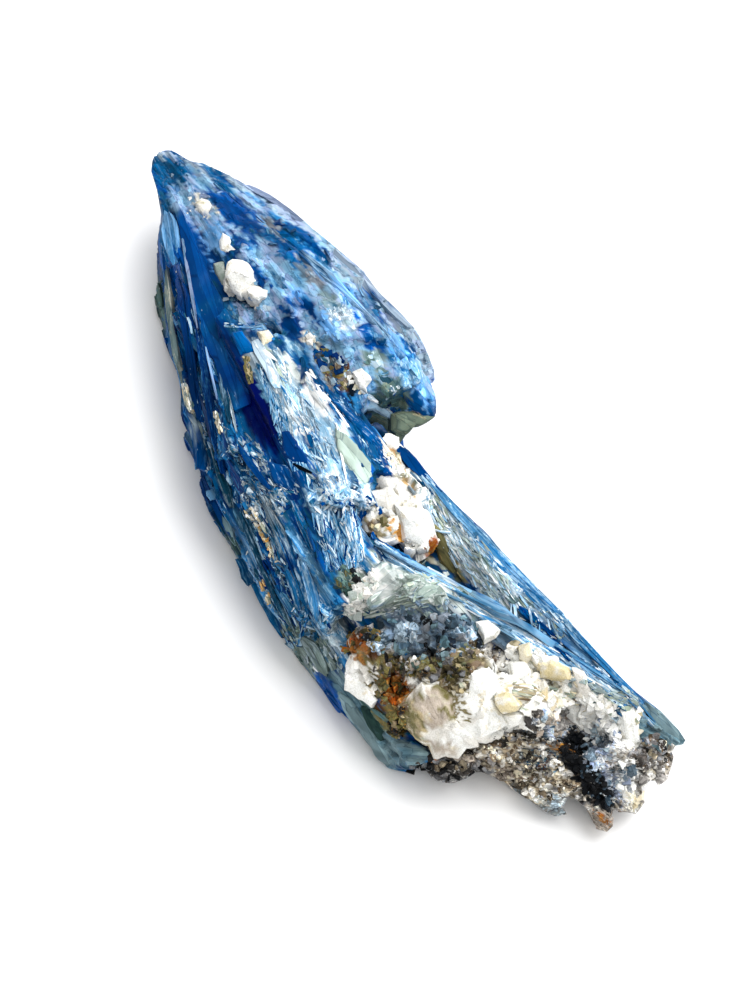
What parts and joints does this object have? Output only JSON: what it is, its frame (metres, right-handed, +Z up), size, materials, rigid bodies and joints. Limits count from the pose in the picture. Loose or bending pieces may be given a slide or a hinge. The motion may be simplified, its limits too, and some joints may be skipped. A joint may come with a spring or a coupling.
{
  "type": "kyanite blade cluster",
  "caption": "Loose mineral specimen: long blue kyanite blades fanning out of one tip, grown through a broken foot of white quartz and dark mica rock.",
  "frame": {"origin": "on the resting surface, under the middle of the bounding box", "axes": "+X along the blades from the tip to the broken foot, +Z up from the surface it lies on"},
  "size_m": [0.1104, 0.0352, 0.0183],
  "materials": {
    "kyanite": "glassy blue blades with pale streaks along their length",
    "mica_rock": "dark granular mica and quartz rock",
    "quartz": "milky white broken quartz with rust stains"
  },
  "bodies": {
    "root": {"kyanite_blades": "kyanite", "mica_rock": "mica_rock", "quartz_foot": "quartz", "quartz_corner": "quartz", "quartz_notch": "quartz", "quartz_upper": "quartz"}
  },
  "joints": []
}
